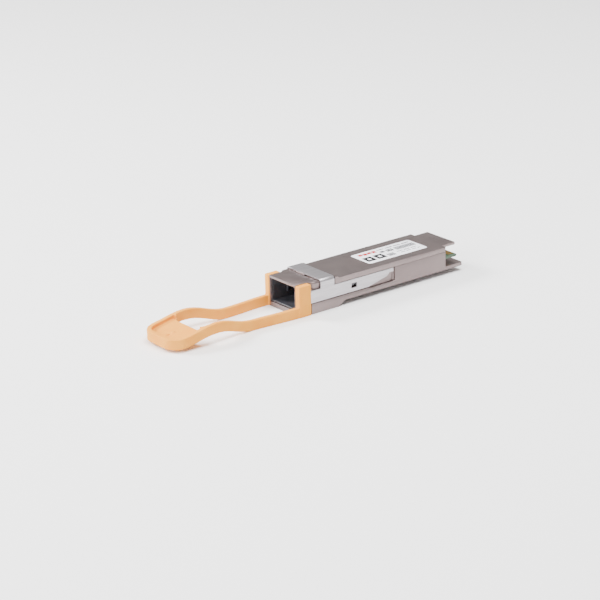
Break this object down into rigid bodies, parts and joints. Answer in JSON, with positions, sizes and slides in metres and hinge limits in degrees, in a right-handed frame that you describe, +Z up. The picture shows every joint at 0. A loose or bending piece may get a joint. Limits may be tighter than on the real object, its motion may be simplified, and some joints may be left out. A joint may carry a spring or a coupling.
{
  "type": "optical transceiver module",
  "caption": "Pluggable optical transceiver module with a metal housing, a multi-fibre port in the nose, a card edge at the rear and a sliding release with a long rubber pull tab.",
  "frame": {"origin": "centre of the base of the box round the whole object, tab included", "axes": "+Y towards the host connector, -Y towards the pull tab, +X across, +Z up to the label side"},
  "size_m": [0.0188, 0.1234, 0.0114],
  "materials": {
    "cast_shell": "nickel plated zinc die casting, satin",
    "spring_steel_sheet": "stamped stainless sheet, satin",
    "tab_rubber": "moulded thermoplastic elastomer, matt",
    "port_plastic": "moulded, black",
    "ferrule_plastic": "glass filled polymer",
    "pin_steel": "ground",
    "clamp_steel": "plain",
    "ribbon_coating": "aqua coated",
    "lens_polymer": "moulded optical polymer",
    "chip_die": "bare die",
    "chip_package": "moulded package",
    "card_laminate": "solder mask",
    "gold_plate": "hard gold plated",
    "capacitor_ceramic": "ceramic",
    "resistor_body": "printed",
    "ferrite": "sintered",
    "gap_filler": "soft silicone",
    "gasket_foam": "conductive foam",
    "screw_steel": "zinc plated",
    "label_film": "printed polyester film"
  },
  "bodies": {
    "module": {"bottom_shell": "cast_shell", "top_cover": "cast_shell", "mpo_receptacle": "port_plastic", "ferrule_retainer": "port_plastic", "mt_ferrule": "ferrule_plastic", "guide_pins": "pin_steel", "pin_clamp": "clamp_steel", "fibre_ribbon": "ribbon_coating", "lens_block": "lens_polymer", "laser_array": "chip_die", "photodiode_array": "chip_die", "laser_driver_chip": "chip_die", "receiver_chip": "chip_die", "transmit_retimer": "chip_package", "receive_retimer": "chip_package", "microcontroller": "chip_package", "inductors": "ferrite", "capacitors": "capacitor_ceramic", "resistors": "resistor_body", "circuit_card": "card_laminate", "contacts_top": "gold_plate", "contacts_bottom": "gold_plate", "thermal_pad": "gap_filler", "shield_gasket": "gasket_foam", "cover_screws": "screw_steel", "label": "label_film", "spring_left": "clamp_steel", "spring_right": "clamp_steel"},
    "release": {"latch_slider": "spring_steel_sheet", "pull_tab": "tab_rubber"}
  },
  "joints": [
    {"name": "release_slide", "type": "slide", "parent": "module", "child": "release", "axis": [0, -1, 0], "range_m": [0, 0.0025], "stiffness_N_per_m": 1200, "springref_m": -0.001, "deforming": ["spring_left", "spring_right"]}
  ]
}
